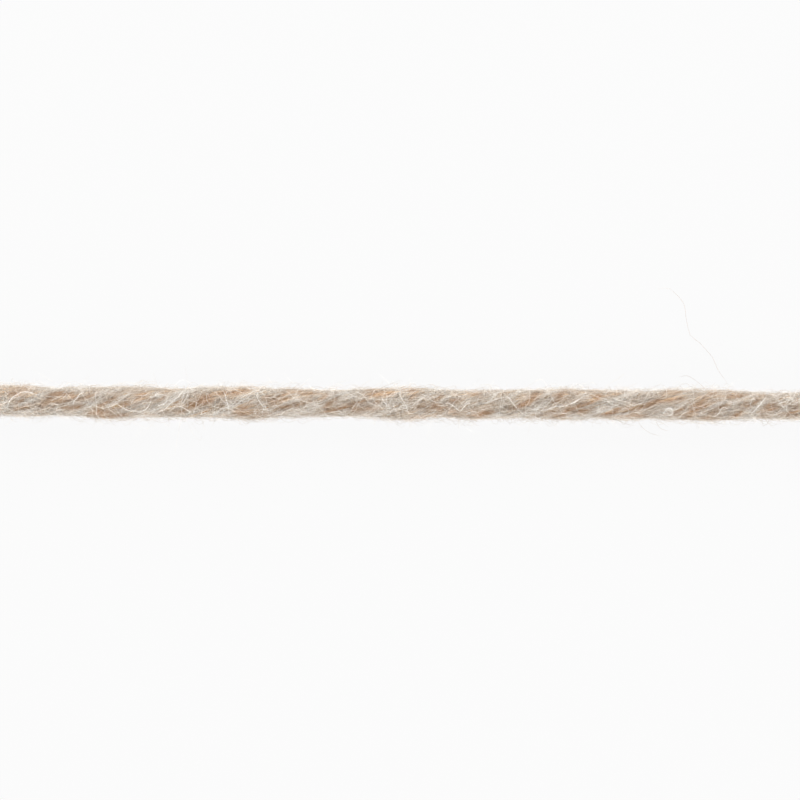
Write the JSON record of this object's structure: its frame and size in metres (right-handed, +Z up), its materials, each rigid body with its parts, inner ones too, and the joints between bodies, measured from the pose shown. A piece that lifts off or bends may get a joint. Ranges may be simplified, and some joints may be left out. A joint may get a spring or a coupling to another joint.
{
  "type": "cotton yarn",
  "caption": "Short cut length of soft undyed cotton yarn, its plies laid together with an S twist, lying almost straight and flat on a surface.",
  "frame": {"origin": "on the resting surface, under the middle of the cut length", "axes": "+X along the yarn, +Y across it on the surface, +Z up from the surface"},
  "size_m": [0.1008, 0.0034, 0.0033],
  "materials": {
    "cotton_fibre": "matt, softly fuzzy undyed beige cotton with paler crests and warmer tan grooves"
  },
  "bodies": {
    "root": {"yarn_strand": "cotton_fibre"}
  },
  "joints": []
}
